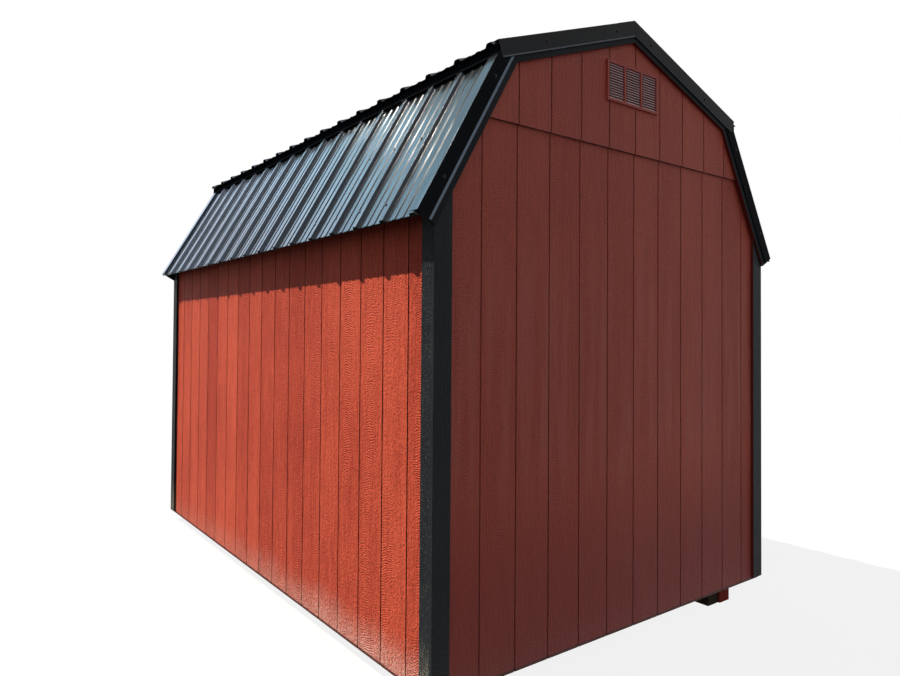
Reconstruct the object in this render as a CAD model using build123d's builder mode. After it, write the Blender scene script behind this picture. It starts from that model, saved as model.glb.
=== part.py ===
from build123d import *
from math import atan2, cos, hypot, sin, tan
import os

# Lofted barn shed: a stud-framed box on skids under a gambrel roof of ribbed metal.
# +X runs across the gable, +Y along the ridge, +Z up from the skid bottoms.
# The plain gable is at -Y and is called the front; the doorway is in the back gable.

# Stud frame in plan
frame_width = 2438.4
frame_length = 3657.6

# Skids and floor
skid_width = 95.0
skid_height = 89.0
skid_gap = 4.0
left_skid_outer_edge = 1030.0
right_skid_outer_edge = 910.0
joist_depth = 89.0
joist_spacing = 406.4
floor_deck_thickness = 19.0

# Framing timber
lumber_thickness = 38.0
stud_depth = 89.0
stud_spacing = 609.6
wall_height = 1905.0

# Roof line, along the outer edges of the rafters
heel_height = 64.0
knee_inset = 362.0
lower_rise = 630.0
upper_rise = 316.0
eave_tail = 180.0
knee_overhang = 66.0
rafter_depth = 89.0
rafter_spacing = 609.6
roof_deck_thickness = 16.0
ridge_gap = 16.0

# Panel siding with upright grooves
siding_thickness = 11.0
siding_drop = 25.0
groove_pitch = 203.2
groove_width = 7.0
groove_depth = 3.5
gable_groove_shift = 28.0
side_groove_shift = -24.0
panel_over_plate = 400.4
panel_lap = 32.0
packing_width = 70.0

# Corner boards and rake boards
trim_thickness = 16.0
corner_board_width = 91.0
corner_board_lift = 13.0
side_board_width = 70.0
rake_board_width = 87.0
mitre_gap = 1.5

# Ribbed roof sheets and folded flashings
metal_thickness = 1.2
rib_pitch = 228.6
rib_height = 15.0
rib_base = 54.0
rib_top = 26.0
minor_rib_height = 3.0
minor_rib_base = 30.0
minor_rib_top = 14.0
minor_rib_shares = (0.36, 0.64)
sheet_lip = 12.0
sheet_clearance = 3.0
rake_trim_flange = 62.0
rake_trim_tail = 58.0
upper_trim_drop = 71.0
upper_hem_drop = 9.0
upper_hem_kick = 6.0
lower_trim_drop = 65.0
lower_hem_drop = 10.0
lower_hem_kick = 6.0
cap_wing = 128.0
knee_leg = 70.0
knee_foot = 6.0

# Louvred gable vent
vent_width = 400.0
vent_height = 202.0
vent_border = 12.0
vent_mullion = 14.0
vent_depth = 9.0
vent_drop = 305.0
vent_columns = 3
louvre_count = 14
louvre_thickness = 2.0
louvre_setback = 1.5
louvre_fall_share = 0.55

# Double doors in the back gable
door_width = 1524.0
door_height = 1829.0
door_gap = 3.0
door_rebate = 25.0
door_board_width = 89.0
hinge_length = 150.0
hinge_height = 42.0
hinge_thickness = 3.0
hinge_barrel_diameter = 14.0
hinge_height_shares = (0.12, 0.5, 0.88)
hasp_length = 120.0
hasp_height = 38.0
hasp_height_share = 0.52

cut_overrun = 20.0

# Levels and faces that follow from the driving sizes
half_width = frame_width / 2
half_length = frame_length / 2
joist_top = skid_height + joist_depth
floor_top = joist_top + floor_deck_thickness
plate_top = floor_top + wall_height
siding_bottom = skid_height - siding_drop
lower_panel_top = plate_top + panel_over_plate
seam_height = lower_panel_top - panel_lap
side_face = half_width + siding_thickness
gable_face = half_length + siding_thickness
upper_gable_face = gable_face + siding_thickness
corner_face_x = side_face + trim_thickness
rake_face = upper_gable_face + trim_thickness

# The gambrel, for the right-hand half
heel_z = plate_top + heel_height
knee_x = half_width - knee_inset
knee_z = heel_z + lower_rise
ridge_z = knee_z + upper_rise
lower_angle = atan2(lower_rise, knee_inset)
upper_angle = atan2(upper_rise, knee_x)
upper_run = hypot(knee_x, upper_rise)
eave_run = hypot(knee_inset, lower_rise) + eave_tail
overhang_x = knee_x + knee_overhang

# Heights of the roof layers, square to the rafter line
deck_lift = roof_deck_thickness
lower_rib_lift = deck_lift + metal_thickness + rib_height
lower_trim_lift = lower_rib_lift + metal_thickness
upper_sheet_lift = deck_lift + metal_thickness
upper_rib_lift = upper_sheet_lift + metal_thickness + rib_height
upper_trim_lift = upper_rib_lift + metal_thickness
rake_board_low = deck_lift - rake_board_width


def upper_z(x, lift):
    """Height of the upper slope at x, lifted square to the rafter line."""
    return ridge_z + lift / cos(upper_angle) - x * tan(upper_angle)


def lower_z(x, lift):
    """Height of the lower slope at x, lifted square to the rafter line."""
    return knee_z + lift / cos(lower_angle) - (x - knee_x) * tan(lower_angle)


def lower_x(z, lift):
    """Distance from the middle of the lower slope at height z."""
    return knee_x + (knee_z + lift / cos(lower_angle) - z) / tan(lower_angle)


def roof_edge(z):
    """Point of the right-hand rafter line at height z, on whichever slope is there."""
    return (min(lower_x(z, 0), (ridge_z - z) / tan(upper_angle)), z)


def meet(lower_lift, upper_lift):
    """Point where a lifted lower slope meets a lifted upper slope."""
    climb = lower_lift / cos(lower_angle) - upper_lift / cos(upper_angle)
    x = knee_x + climb / (tan(lower_angle) - tan(upper_angle))
    return (x, upper_z(x, upper_lift))


def knee(lift):
    """Knee of a gambrel line lifted evenly all round."""
    return meet(lift, lift)


def roof_edge_between(low, high):
    """Right-hand rafter line from one height to another, by way of the knee if that lies between."""
    bends = [knee(0)] if low < knee_z < high else []
    return [roof_edge(low)] + bends + [roof_edge(high)]


def ridge(lift):
    """Ridge of a gambrel line lifted evenly all round."""
    return (0, upper_z(0, lift))


def on_lower(run, lift):
    """Point down the lower slope from the knee, lifted square to it."""
    x = knee_x + run * cos(lower_angle) + lift * sin(lower_angle)
    return (x, knee_z - run * sin(lower_angle) + lift * cos(lower_angle))


def on_upper(run, lift):
    """Point down the upper slope from the ridge, lifted square to it."""
    x = run * cos(upper_angle) + lift * sin(upper_angle)
    return (x, ridge_z - run * sin(upper_angle) + lift * cos(upper_angle))


def symmetric(points):
    """Outline from right-hand points, bottom to top, and their reflection."""
    return points + [(-x, z) for x, z in reversed(points) if x > 0]


def gable_plane(y):
    """Upright plane across the barn, drawn in X and Z, that extrudes towards -Y."""
    return Plane.XZ.offset(-y)


def side_plane(x):
    """Upright plane along the barn, drawn in Y and Z, that extrudes towards +X."""
    return Plane.YZ.offset(x)


def slope_plane(point, angle):
    """Plane square to a right-hand slope, drawn along +Y and outwards, facing down it."""
    down_slope = (cos(angle), 0, -sin(angle))
    return Plane(origin=(point[0], 0, point[1]), x_dir=(0, 1, 0), z_dir=down_slope)


def even_places(length, spacing):
    """Places from end to end of a length, no further apart than about the spacing."""
    bays = max(round(length / spacing), 1)
    return [length * (i / bays - 1 / 2) for i in range(bays + 1)]


def outline(plane, points):
    """Face on a plane with straight edges from point to point."""
    with BuildSketch(plane) as face:
        with BuildLine():
            Polyline(*points, close=True)
        make_face()
    return face.sketch


def beside(points, distance):
    """A folded line moved to its left by a distance, mitred at each fold."""
    normals = []
    for (x0, y0), (x1, y1) in zip(points, points[1:]):
        length = hypot(x1 - x0, y1 - y0)
        normals.append(((y0 - y1) / length, (x1 - x0) / length))
    moved = []
    for i, (x, y) in enumerate(points):
        before = normals[max(i - 1, 0)]
        after = normals[min(i, len(normals) - 1)]
        reach = distance / (1 + before[0] * after[0] + before[1] * after[1])
        moved.append((x + reach * (before[0] + after[0]), y + reach * (before[1] + after[1])))
    return moved


def folded(plane, points):
    """Section of thin metal folded along the points, its thickness on their left."""
    return outline(plane, points + list(reversed(beside(points, metal_thickness))))


def reflected(piece, plane):
    """The same piece on the other side of the barn."""
    with BuildPart() as twin:
        mirror(piece.part, about=plane)
    return twin


def write(node, piece):
    """Label a finished piece and write it under the name of its node."""
    piece.part.label = node
    export_step(piece.part, f"parts/{node}.step")


os.makedirs("parts", exist_ok=True)


# Skids: two timbers side by side under each half of the floor
through_skid_outline = [
    (gable_face, 0),
    (gable_face, siding_bottom),
    (half_length, siding_bottom),
    (half_length, skid_height),
]


def skid_pair(outer_edge):
    """An outer timber, notched under the siding at both ends, and an inner one beside it."""
    with BuildPart() as pair:
        inner_face = side_plane(outer_edge - skid_width)
        extrude(outline(inner_face, symmetric(through_skid_outline)), amount=skid_width)
        with BuildSketch():
            with Locations((outer_edge - skid_gap - 3 * skid_width / 2, 0)):
                Rectangle(skid_width, frame_length)
        extrude(amount=skid_height)
    return pair


write("right_skids", skid_pair(right_skid_outer_edge))
write("left_skids", reflected(skid_pair(left_skid_outer_edge), Plane.YZ))

# Floor frame: joists across the skids between two long rims, and the boarding on them
joist_span = frame_width - 2 * lumber_thickness
with BuildPart() as floor_joists:
    with BuildSketch(Plane.XY.offset(skid_height)):
        with Locations(*[(0, y) for y in even_places(frame_length - lumber_thickness, joist_spacing)]):
            Rectangle(joist_span, lumber_thickness)
    extrude(amount=joist_depth)
write("floor_joists", floor_joists)

with BuildPart() as floor_rims:
    with BuildSketch(Plane.XY.offset(skid_height)):
        with GridLocations(frame_width - lumber_thickness, frame_length, 2, 1):
            Rectangle(lumber_thickness, frame_length)
    extrude(amount=joist_depth)
write("floor_rims", floor_rims)

with BuildPart() as floor_deck:
    with BuildSketch(Plane.XY.offset(joist_top)):
        Rectangle(frame_width, frame_length)
    extrude(amount=floor_deck_thickness)
write("floor_deck", floor_deck)


# Stud walls: plates and studs nailed up as one frame for each wall
side_wall_length = frame_length - 2 * stud_depth
plate_levels = (floor_top + lumber_thickness / 2, plate_top - lumber_thickness / 2)
with BuildPart() as right_wall_frame:
    with BuildSketch(side_plane(half_width - stud_depth)):
        with Locations(*[(0, z) for z in plate_levels]):
            Rectangle(side_wall_length, lumber_thickness)
        stud_places = even_places(side_wall_length - lumber_thickness, stud_spacing)
        with Locations(*[(y, floor_top + wall_height / 2) for y in stud_places]):
            Rectangle(lumber_thickness, wall_height)
    extrude(amount=stud_depth)
write("right_wall_frame", right_wall_frame)
write("left_wall_frame", reflected(right_wall_frame, Plane.YZ))


def gable_stud(x, base):
    """Short stud from a plate or header to the underside of the end rafters."""
    edges = (x - lumber_thickness / 2, x + lumber_thickness / 2)
    tops = [(e, min(upper_z(abs(e), -rafter_depth), lower_z(abs(e), -rafter_depth))) for e in edges]
    return [(edges[0], base), (edges[1], base), tops[1], tops[0]]


door_head = floor_top + door_height
header_top = max(plate_top, door_head + lumber_thickness)
frame_opening = door_width - 2 * door_rebate
jamb_x = frame_opening / 2 + lumber_thickness / 2
gable_stud_x = stud_spacing / 2
end_studs_x = even_places(frame_width - lumber_thickness, stud_spacing)


def end_wall_frame(studs_x, gable_stud_base):
    """Plates, studs and gable studs of the wall under the front gable."""
    with BuildPart() as wall:
        with BuildSketch(gable_plane(-half_length + stud_depth)):
            with Locations(*[(0, z) for z in plate_levels]):
                Rectangle(frame_width, lumber_thickness)
            with Locations(*[(x, floor_top + wall_height / 2) for x in studs_x]):
                Rectangle(lumber_thickness, wall_height)
            for x in (-gable_stud_x, gable_stud_x):
                add(outline(Plane.XY, gable_stud(x, gable_stud_base)))
        extrude(amount=stud_depth)
    return wall


write("front_wall_frame", end_wall_frame(end_studs_x, plate_top))

# The back wall has a doorway, with a jamb stud each side and a header across them
with BuildPart() as doorway_wall_frame:
    add(end_wall_frame([end_studs_x[0], end_studs_x[-1]], header_top).part)
    with BuildSketch(gable_plane(-half_length + stud_depth)):
        with Locations((0, floor_top + door_height / 2)):
            Rectangle(frame_opening, door_height)
    extrude(amount=stud_depth, mode=Mode.SUBTRACT)
    with BuildSketch(gable_plane(-half_length + stud_depth)):
        with Locations((-jamb_x, (floor_top + header_top) / 2), (jamb_x, (floor_top + header_top) / 2)):
            Rectangle(lumber_thickness, header_top - floor_top)
        with Locations((0, door_head + lumber_thickness / 2)):
            Rectangle(frame_opening, lumber_thickness)
    extrude(amount=stud_depth)
write("back_wall_frame", reflected(doorway_wall_frame, Plane.XZ))

# Rafters: gambrel bents that stand on the wall plates
bent_places = even_places(frame_length - lumber_thickness, rafter_spacing)
bent_outside = [(half_width, plate_top), (half_width, heel_z), knee(0), ridge(0)]
seat_x = lower_x(plate_top, -rafter_depth)
bent_inside = [(seat_x, plate_top), knee(-rafter_depth), ridge(-rafter_depth)]
bent_outline = symmetric(bent_outside) + list(reversed(symmetric(bent_inside)))
with BuildPart() as roof_rafters:
    for y in bent_places:
        extrude(outline(gable_plane(y + lumber_thickness / 2), bent_outline), amount=lumber_thickness)
write("roof_rafters", roof_rafters)

# Roof boarding: one deck on each slope, running out over the gables to the rake boards
lower_deck_outline = [
    (knee_x, knee_z),
    on_lower(eave_run, 0),
    on_lower(eave_run, deck_lift),
    meet(deck_lift, 0),
]
upper_deck_outline = [
    (ridge_gap / 2, upper_z(ridge_gap / 2, 0)),
    (overhang_x, upper_z(overhang_x, 0)),
    (overhang_x, upper_z(overhang_x, deck_lift)),
    (ridge_gap / 2, upper_z(ridge_gap / 2, deck_lift)),
]


def roof_decks(deck_outline):
    """Left and right roof boarding of one pitch."""
    with BuildPart() as decks:
        extrude(outline(gable_plane(upper_gable_face), deck_outline), amount=2 * upper_gable_face)
        mirror(about=Plane.YZ)
    return decks


write("lower_roof_decks", roof_decks(lower_deck_outline))
write("upper_roof_decks", roof_decks(upper_deck_outline))


# Siding: grooved panels nailed to the studs
side_panel_top = lower_z(side_face, 0)
side_panel_height = side_panel_top - siding_bottom
gable_groove_count = 2 * int((half_width - groove_pitch / 2) // groove_pitch) + 1
side_groove_count = 2 * int((half_length - groove_pitch / 2) // groove_pitch) + 1

with BuildPart() as right_siding:
    with BuildSketch(side_plane(half_width)):
        with Locations((0, siding_bottom + side_panel_height / 2)):
            Rectangle(frame_length, side_panel_height)
    extrude(amount=siding_thickness)
    with BuildSketch(side_plane(side_face)):
        with Locations((side_groove_shift, siding_bottom + side_panel_height / 2)):
            with GridLocations(groove_pitch, groove_pitch, side_groove_count, 1):
                Rectangle(groove_width, side_panel_height + cut_overrun)
    extrude(amount=-groove_depth, mode=Mode.SUBTRACT)
write("right_siding", right_siding)
write("left_siding", reflected(right_siding, Plane.YZ))


def gable_panel(points, back_face):
    """Grooved panel on the front gable, from its back face outwards."""
    with BuildPart() as panel:
        extrude(outline(gable_plane(-back_face), points), amount=siding_thickness)
        with BuildSketch(gable_plane(-back_face - siding_thickness)):
            with Locations((gable_groove_shift, ridge_z / 2)):
                with GridLocations(groove_pitch, groove_pitch, gable_groove_count, 1):
                    Rectangle(groove_width, ridge_z + cut_overrun)
        extrude(amount=-groove_depth, mode=Mode.SUBTRACT)
    return panel


side_edge_points = [(side_face, siding_bottom)]
lower_gable_points = side_edge_points + roof_edge_between(side_panel_top, lower_panel_top)
upper_gable_points = roof_edge_between(seam_height, ridge_z)
vent_z = ridge_z - vent_drop
vent_opening_width = vent_width - 2 * vent_border
vent_opening_height = vent_height - 2 * vent_border

front_lower_siding = gable_panel(symmetric(lower_gable_points), half_length)
write("front_lower_siding", front_lower_siding)

with BuildPart() as front_upper_siding:
    add(gable_panel(symmetric(upper_gable_points), gable_face).part)
    with BuildSketch(gable_plane(-gable_face)):
        with Locations((0, vent_z)):
            Rectangle(vent_opening_width, vent_opening_height)
    extrude(amount=siding_thickness, mode=Mode.SUBTRACT)
write("front_upper_siding", front_upper_siding)
write("back_upper_siding", reflected(front_upper_siding, Plane.XZ))

# The back lower siding is in three panels, beside and over the doorway
door_half = door_width / 2
beside_middle = (door_half + side_face) / 2


def lower_panel_part(middle, width, bottom):
    """Part of the lower gable panel about a middle, from a level to the panel's top."""
    with BuildPart() as panel:
        add(front_lower_siding.part)
        with BuildSketch(gable_plane(-half_length)):
            with Locations((middle, (bottom + lower_panel_top) / 2)):
                Rectangle(width, lower_panel_top - bottom)
        extrude(amount=siding_thickness, mode=Mode.INTERSECT)
    return reflected(panel, Plane.XZ)


beside_width = side_face - door_half
write("back_right_siding", lower_panel_part(beside_middle, beside_width, siding_bottom))
write("back_left_siding", lower_panel_part(-beside_middle, beside_width, siding_bottom))
write("back_over_door_siding", lower_panel_part(0, door_width, door_head))

# Packing: strips that fur the upper panel out over the lower one, and back the rake boards
arch_outside = roof_edge_between(lower_panel_top, ridge_z)
arch_inside = [
    (lower_x(plate_top, -packing_width), plate_top),
    knee(-packing_width),
    ridge(-packing_width),
]
rake_packer_outline = [
    on_lower(eave_run, 0),
    (lower_x(seam_height, 0), seam_height),
    (lower_x(seam_height, rake_board_low), seam_height),
    on_lower(eave_run, rake_board_low),
]
with BuildPart() as gable_packing:
    extrude(outline(gable_plane(-half_length), symmetric(arch_outside)), amount=siding_thickness)
    extrude(
        outline(gable_plane(-half_length), symmetric(arch_inside)),
        amount=siding_thickness,
        mode=Mode.SUBTRACT,
    )
    extrude(outline(gable_plane(-gable_face), rake_packer_outline), amount=siding_thickness)
    extrude(
        outline(gable_plane(-gable_face), [(-x, z) for x, z in rake_packer_outline]),
        amount=siding_thickness,
    )
    mirror(about=Plane.XZ)
write("gable_packing", gable_packing)


# Corner boards: the board on the gable face laps the edge of the one on the side
corner_board_bottom = siding_bottom + corner_board_lift
corner_inner_x = corner_face_x - corner_board_width
gable_board_outline = [
    (corner_inner_x, corner_board_bottom),
    (corner_face_x, corner_board_bottom),
    (corner_face_x, lower_z(corner_face_x, rake_board_low)),
    (corner_inner_x, lower_z(corner_inner_x, rake_board_low)),
]
with BuildPart() as front_corner_boards:
    extrude(outline(gable_plane(-gable_face), gable_board_outline), amount=trim_thickness)
    mirror(about=Plane.YZ)
write("front_corner_boards", front_corner_boards)
write("back_corner_boards", reflected(front_corner_boards, Plane.XZ))

side_board_height = lower_z(corner_face_x, 0) - corner_board_bottom
with BuildPart() as right_corner_boards:
    with BuildSketch(side_plane(side_face)):
        with Locations((0, corner_board_bottom + side_board_height / 2)):
            with GridLocations(2 * gable_face - side_board_width, side_board_height, 2, 1):
                Rectangle(side_board_width, side_board_height)
    extrude(amount=trim_thickness)
write("right_corner_boards", right_corner_boards)
write("left_corner_boards", reflected(right_corner_boards, Plane.YZ))

# Rake boards: timber along the gable edges of the roof, mitred at the ridge and the knee
upper_rake_outline = [
    (mitre_gap / 2, upper_z(mitre_gap / 2, rake_board_low)),
    knee(rake_board_low),
    knee(deck_lift),
    (mitre_gap / 2, upper_z(mitre_gap / 2, deck_lift)),
]


def down_lower(point, run):
    """The same point moved down along the lower slope."""
    return (point[0] + run * cos(lower_angle), point[1] - run * sin(lower_angle))


lower_rake_outline = [
    down_lower(knee(rake_board_low), mitre_gap),
    on_lower(eave_run, rake_board_low),
    on_lower(eave_run, deck_lift),
    down_lower(knee(deck_lift), mitre_gap),
]


def rake_boards(board_outline):
    """Left and right rake boards of one pitch on the front gable."""
    with BuildPart() as boards:
        extrude(outline(gable_plane(-upper_gable_face), board_outline), amount=trim_thickness)
        mirror(about=Plane.YZ)
    return boards


front_upper_rake_boards = rake_boards(upper_rake_outline)
front_lower_rake_boards = rake_boards(lower_rake_outline)
write("front_upper_rake_boards", front_upper_rake_boards)
write("front_lower_rake_boards", front_lower_rake_boards)
write("back_upper_rake_boards", reflected(front_upper_rake_boards, Plane.XZ))
write("back_lower_rake_boards", reflected(front_lower_rake_boards, Plane.XZ))


# Roof sheets: tall ribs with two low stiffening ribs between each pair
rib_count = 2 * int(half_length // rib_pitch) + 1


def rib_line(middle, base_width, top_width, height):
    """Upper corners of one rib as pairs of place along the sheet and height."""
    return [
        (middle - base_width / 2, 0),
        (middle - top_width / 2, height),
        (middle + top_width / 2, height),
        (middle + base_width / 2, 0),
    ]


def sheet_section(lift):
    """Closed section of a ribbed sheet that lies at a lift above the rafters."""
    line = [(-rake_face, 0)]
    for i in range(rib_count):
        middle = (i - (rib_count - 1) / 2) * rib_pitch
        line += rib_line(middle, rib_base, rib_top, rib_height)
        if i < rib_count - 1:
            for share in minor_rib_shares:
                line += rib_line(
                    middle + share * rib_pitch, minor_rib_base, minor_rib_top, minor_rib_height
                )
    line.append((rake_face, 0))
    top = [(y, lift + height + metal_thickness) for y, height in line]
    bottom = [(y, lift + height) for y, height in reversed(line)]
    return top + bottom


lower_sheet_start = lower_trim_lift / tan(lower_angle - upper_angle) + sheet_clearance
lower_sheet_length = eave_run + sheet_lip - lower_sheet_start
with BuildPart() as right_lower_sheet:
    start = slope_plane(on_lower(lower_sheet_start, 0), lower_angle)
    extrude(outline(start, sheet_section(deck_lift)), amount=lower_sheet_length)
write("right_lower_sheet", right_lower_sheet)
write("left_lower_sheet", reflected(right_lower_sheet, Plane.YZ))

upper_sheet_start = ridge_gap
upper_sheet_end = upper_run + knee_overhang / cos(upper_angle) + sheet_lip
with BuildPart() as right_upper_sheet:
    start = slope_plane(on_upper(upper_sheet_start, 0), upper_angle)
    extrude(outline(start, sheet_section(upper_sheet_lift)), amount=upper_sheet_end - upper_sheet_start)
write("right_upper_sheet", right_upper_sheet)
write("left_upper_sheet", reflected(right_upper_sheet, Plane.YZ))

# Knee flashing: laid on the upper deck, folded down its end and out over the lower ribs
leg_x = overhang_x - knee_leg * cos(upper_angle)
foot = (overhang_x, lower_z(overhang_x, lower_trim_lift))
knee_path = [
    (leg_x, upper_z(leg_x, deck_lift)),
    (overhang_x, upper_z(overhang_x, deck_lift)),
    foot,
    down_lower(foot, knee_foot),
]
with BuildPart() as right_knee_flashing:
    extrude(folded(gable_plane(rake_face), knee_path), amount=2 * rake_face)
write("right_knee_flashing", right_knee_flashing)
write("left_knee_flashing", reflected(right_knee_flashing, Plane.YZ))


# Rake trim: folded metal over the edge ribs and down the rake boards, with a kicked-out hem
def rake_trim_section(plane, top_lift, drop, hem_drop, hem_kick):
    """Folded section of the front rake trim, from its hem to its flange."""
    under = top_lift - metal_thickness
    bottom = top_lift - drop
    return folded(
        plane,
        [
            (-rake_face - hem_kick, bottom - hem_drop),
            (-rake_face, bottom),
            (-rake_face, under),
            (-rake_face + rake_trim_flange, under),
        ],
    )


# The upper trim runs past the knee, and the lower one is cut away round it
upper_trim_end = upper_run + rake_trim_tail
clear_end = upper_trim_end + mitre_gap
clear_low = upper_trim_lift - upper_trim_drop - upper_hem_drop - mitre_gap
clear_high = upper_trim_lift + cut_overrun
knee_clear_outline = [
    on_upper(0, clear_low),
    on_upper(clear_end, clear_low),
    on_upper(clear_end, clear_high),
    on_upper(0, clear_high),
]
with BuildPart() as front_upper_rake_trim:
    start = slope_plane(on_upper(-cut_overrun, 0), upper_angle)
    section = rake_trim_section(start, upper_trim_lift, upper_trim_drop, upper_hem_drop, upper_hem_kick)
    extrude(section, amount=upper_trim_end + cut_overrun)
    split(bisect_by=Plane.YZ.offset(mitre_gap / 2), keep=Keep.TOP)
    mirror(about=Plane.YZ)
write("front_upper_rake_trim", front_upper_rake_trim)
write("back_upper_rake_trim", reflected(front_upper_rake_trim, Plane.XZ))

with BuildPart() as front_lower_rake_trim:
    start = slope_plane(on_lower(0, 0), lower_angle)
    section = rake_trim_section(start, lower_trim_lift, lower_trim_drop, lower_hem_drop, lower_hem_kick)
    extrude(section, amount=eave_run)
    extrude(
        outline(gable_plane(0), knee_clear_outline), amount=rake_face + cut_overrun, mode=Mode.SUBTRACT
    )
    with BuildSketch(start):
        with Locations((-rake_face + rake_trim_flange, lower_trim_lift)):
            Rectangle(2 * rake_trim_flange, 2 * rib_height)
    extrude(amount=lower_sheet_start, mode=Mode.SUBTRACT)
    mirror(about=Plane.YZ)
write("front_lower_rake_trim", front_lower_rake_trim)
write("back_lower_rake_trim", reflected(front_lower_rake_trim, Plane.XZ))

# Ridge cap: folded metal over the upper rake trims
cap_path = [on_upper(cap_wing, upper_trim_lift), ridge(upper_trim_lift)]
with BuildPart() as ridge_cap:
    left_to_right = list(reversed(symmetric(cap_path)))
    extrude(folded(gable_plane(rake_face), left_to_right), amount=2 * rake_face)
write("ridge_cap", ridge_cap)


# Gable vent: a flanged frame with columns of sloping louvres, set over the cut in the upper panel
column_area = vent_width - 2 * vent_border
column_width = (column_area - (vent_columns - 1) * vent_mullion) / vent_columns
louvre_pitch = vent_opening_height / louvre_count
louvre_fall = louvre_fall_share * louvre_pitch
louvre_span = column_area + vent_border
louvre_back = -upper_gable_face - louvre_setback
louvre_front = -upper_gable_face - vent_depth + louvre_setback
with BuildPart() as front_vent:
    with BuildSketch(gable_plane(-upper_gable_face)):
        with Locations((0, vent_z)):
            Rectangle(vent_width, vent_height)
            with GridLocations(column_width + vent_mullion, vent_height, vent_columns, 1):
                Rectangle(column_width, vent_opening_height, mode=Mode.SUBTRACT)
    extrude(amount=vent_depth)
    with BuildSketch(side_plane(-louvre_span / 2)):
        for i in range(louvre_count):
            middle = vent_z + (i - (louvre_count - 1) / 2) * louvre_pitch
            with BuildLine():
                Polyline(
                    (louvre_back, middle + louvre_fall / 2),
                    (louvre_front, middle - louvre_fall / 2),
                    (louvre_front, middle - louvre_fall / 2 - louvre_thickness),
                    (louvre_back, middle + louvre_fall / 2 - louvre_thickness),
                    close=True,
                )
            make_face()
    extrude(amount=louvre_span)
write("front_vent", front_vent)
write("back_vent", reflected(front_vent, Plane.XZ))


# Double doors: grooved leaves flush with the siding, boards round each, hinges and a hasp
leaf_width = door_half - 3 * door_gap / 2
leaf_middle = door_gap / 2 + leaf_width / 2
leaf_height = door_head - siding_bottom - door_gap
leaf_level = siding_bottom + leaf_height / 2
leaf_points = [
    (door_gap / 2, siding_bottom),
    (door_gap / 2 + leaf_width, siding_bottom),
    (door_gap / 2 + leaf_width, siding_bottom + leaf_height),
    (door_gap / 2, siding_bottom + leaf_height),
]
board_face = gable_face + trim_thickness

right_door_leaf = reflected(gable_panel(leaf_points, half_length), Plane.XZ)
write("right_door_leaf", right_door_leaf)
left_leaf_points = [(-x, z) for x, z in leaf_points]
write("left_door_leaf", reflected(gable_panel(left_leaf_points, half_length), Plane.XZ))

# Boards on the leaves: two stiles each, with rails between them
rail_width = leaf_width - 2 * door_board_width - 2 * mitre_gap
rail_pitch = (leaf_height - door_board_width) / 2
with BuildPart() as right_door_boards:
    with BuildSketch(gable_plane(board_face)):
        with Locations((leaf_middle, leaf_level)):
            with GridLocations(leaf_width - door_board_width, leaf_height, 2, 1):
                Rectangle(door_board_width, leaf_height)
            with GridLocations(leaf_width, rail_pitch, 1, 3):
                Rectangle(rail_width, door_board_width)
    extrude(amount=trim_thickness)
write("right_door_boards", right_door_boards)
write("left_door_boards", reflected(right_door_boards, Plane.YZ))

# Casing: two jamb boards on the siding and a head board over them
jamb_height = door_head - siding_bottom
with BuildPart() as door_casing:
    with BuildSketch(gable_plane(board_face)):
        with Locations((0, siding_bottom + jamb_height / 2)):
            with GridLocations(door_width + door_board_width, jamb_height, 2, 1):
                Rectangle(door_board_width, jamb_height)
        with Locations((0, door_head + mitre_gap + door_board_width / 2)):
            Rectangle(door_width + 2 * door_board_width, door_board_width)
    extrude(amount=trim_thickness)
write("door_casing", door_casing)

# Hinges across the casing and the leaves, and the hasp over the meeting stiles
hinge_places = [(door_half, siding_bottom + share * leaf_height) for share in hinge_height_shares]
hinge_places += [(-x, z) for x, z in hinge_places]
hinge_face = board_face + hinge_thickness
with BuildPart() as door_hinges:
    with BuildSketch(gable_plane(hinge_face)):
        with Locations(*hinge_places):
            Rectangle(hinge_length, hinge_height)
    extrude(amount=hinge_thickness)
    with Locations(*[(x, hinge_face, z) for x, z in hinge_places]):
        Cylinder(hinge_barrel_diameter / 2, hinge_height)
    with BuildSketch(gable_plane(board_face)):
        with Locations(*hinge_places):
            Rectangle(hinge_length, 2 * hinge_height)
    extrude(amount=trim_thickness, mode=Mode.SUBTRACT)
write("door_hinges", door_hinges)

with BuildPart() as door_hasp:
    with BuildSketch(gable_plane(hinge_face)):
        with Locations((0, siding_bottom + hasp_height_share * leaf_height)):
            RectangleRounded(hasp_length, hasp_height, hasp_height / 4)
    extrude(amount=hinge_thickness)
write("door_hasp", door_hasp)
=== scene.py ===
import math

import bpy
from mathutils import Matrix, Vector


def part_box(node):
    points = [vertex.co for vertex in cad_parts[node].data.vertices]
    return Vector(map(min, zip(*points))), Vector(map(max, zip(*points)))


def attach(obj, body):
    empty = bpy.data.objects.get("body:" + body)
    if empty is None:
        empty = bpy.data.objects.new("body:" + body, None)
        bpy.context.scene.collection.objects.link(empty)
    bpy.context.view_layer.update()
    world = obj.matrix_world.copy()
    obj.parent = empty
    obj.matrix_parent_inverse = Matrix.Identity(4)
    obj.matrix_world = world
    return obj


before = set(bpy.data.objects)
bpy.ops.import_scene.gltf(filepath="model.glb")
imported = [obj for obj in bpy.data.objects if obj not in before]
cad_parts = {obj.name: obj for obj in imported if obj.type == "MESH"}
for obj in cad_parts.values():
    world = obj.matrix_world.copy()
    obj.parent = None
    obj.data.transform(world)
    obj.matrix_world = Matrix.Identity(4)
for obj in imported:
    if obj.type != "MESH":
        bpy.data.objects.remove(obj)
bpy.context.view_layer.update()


# Viewpoint
# The barn stands corner-on at eye height: the plain gable is to the right of the near corner
# and the sunny long side to the left. The lens and its shift come from the picture's own lines.
picture_width = 900
picture_height = 676
focal_pixels = 684.2
axis_pixel_x = 446.9
axis_pixel_y = 322.3
eye = Vector((-2.8424, -4.0732, 1.5336))
yaw = math.radians(36.86)
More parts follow.
